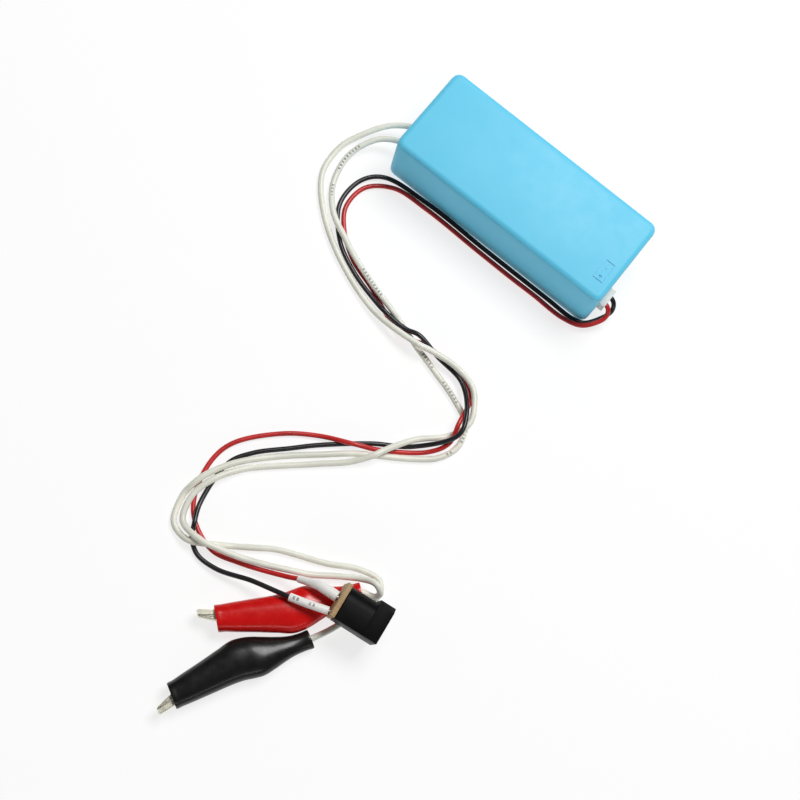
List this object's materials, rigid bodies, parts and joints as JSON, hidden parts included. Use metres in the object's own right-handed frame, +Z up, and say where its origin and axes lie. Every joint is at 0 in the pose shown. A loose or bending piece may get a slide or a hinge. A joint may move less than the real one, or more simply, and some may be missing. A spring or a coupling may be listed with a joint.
{
  "type": "tone driver box with clip leads",
  "caption": "Small sky-blue driver box with a plug-in barrel-jack input lead and white output leads that end in a red and a black booted crocodile clip, lying on a flat surface.",
  "frame": {"origin": "centre of the case's underside, on the surface that the case stands on", "axes": "+X along the case from the white output leads' end to the input plug's end, +Z up, and the leads lie on the case's -Y side"},
  "size_m": [0.0986, 0.191, 0.0204],
  "materials": {
    "sky_blue_abs": "satin moulded ABS",
    "black_plastic": "moulded black plastic",
    "green_board": "solder-masked glass-fibre board",
    "ferrite": "sintered ferrite",
    "copper_wire": "enamelled copper wire",
    "capacitor_sleeve": "shrink-sleeved aluminium can",
    "film_capacitor": "epoxy-dipped film",
    "phenolic": "tan phenolic sheet",
    "nickel": "nickel-plated sheet or wire",
    "white_nylon": "white moulded nylon or sleeve",
    "white_insulation": "white PVC insulation",
    "red_insulation": "red PVC insulation",
    "black_insulation": "black PVC insulation",
    "red_boot_pvc": "glossy soft red PVC",
    "black_boot_pvc": "glossy soft black PVC"
  },
  "bodies": {
    "case": {"case_shell": "sky_blue_abs", "base_cover": "black_plastic", "circuit_board": "green_board", "transformer_core_output_half": "ferrite", "transformer_core_input_half": "ferrite", "transformer_bobbin": "black_plastic", "transformer_winding": "copper_wire", "input_capacitor": "capacitor_sleeve", "output_capacitor": "film_capacitor", "transistor_1": "black_plastic", "transistor_2": "black_plastic", "resistor_1": "phenolic", "resistor_2": "phenolic", "input_header": "white_nylon", "input_header_pin_1": "nickel", "input_header_pin_2": "nickel", "output_terminal_1": "nickel", "output_terminal_2": "nickel", "input_plug": "white_nylon", "input_plug_contact_1": "nickel", "input_plug_contact_2": "nickel", "white_lead_red_clip": "white_insulation", "white_lead_black_clip": "white_insulation", "red_lead": "red_insulation", "black_lead": "black_insulation", "sleeve_red_lead": "white_nylon", "sleeve_black_lead": "white_nylon", "jack_body": "black_plastic", "jack_back_plate": "phenolic", "jack_center_pin": "nickel", "jack_sleeve_lug": "nickel", "red_clip_fixed_jaw": "nickel", "red_clip_pivot_pin": "nickel", "red_clip_spring": "nickel", "red_clip_conductor": "nickel", "red_clip_boot": "red_boot_pvc", "black_clip_fixed_jaw": "nickel", "black_clip_pivot_pin": "nickel", "black_clip_spring": "nickel", "black_clip_conductor": "nickel", "black_clip_boot": "black_boot_pvc"},
    "red_clip_jaw": {"red_clip_moving_jaw": "nickel"},
    "black_clip_jaw": {"black_clip_moving_jaw": "nickel"},
    "jack_leaf": {"jack_leaf_contact": "nickel"}
  },
  "joints": [
    {"name": "red_clip_hinge", "type": "hinge", "parent": "case", "child": "red_clip_jaw", "pos_m": [0.0146, -0.14056, 0.0038], "axis": [0, 0, 1], "range_deg": [0, 26], "stiffness_Nm_per_rad": 0.02, "springref_deg": -45.84, "deforming": ["red_clip_boot", "red_clip_spring"]},
    {"name": "black_clip_hinge", "type": "hinge", "parent": "case", "child": "black_clip_jaw", "pos_m": [0.01705, -0.16262, 0.0038], "axis": [0, 0, -1], "range_deg": [0, 26], "stiffness_Nm_per_rad": 0.02, "springref_deg": -45.84, "deforming": ["black_clip_boot", "black_clip_spring"]},
    {"name": "jack_leaf_hinge", "type": "hinge", "parent": "case", "child": "jack_leaf", "pos_m": [0.03437, -0.12674, 0.00956], "axis": [-0.1036, -0.0138, -0.9945], "range_deg": [0, 4], "stiffness_Nm_per_rad": 0.002, "springref_deg": -5.73}
  ]
}
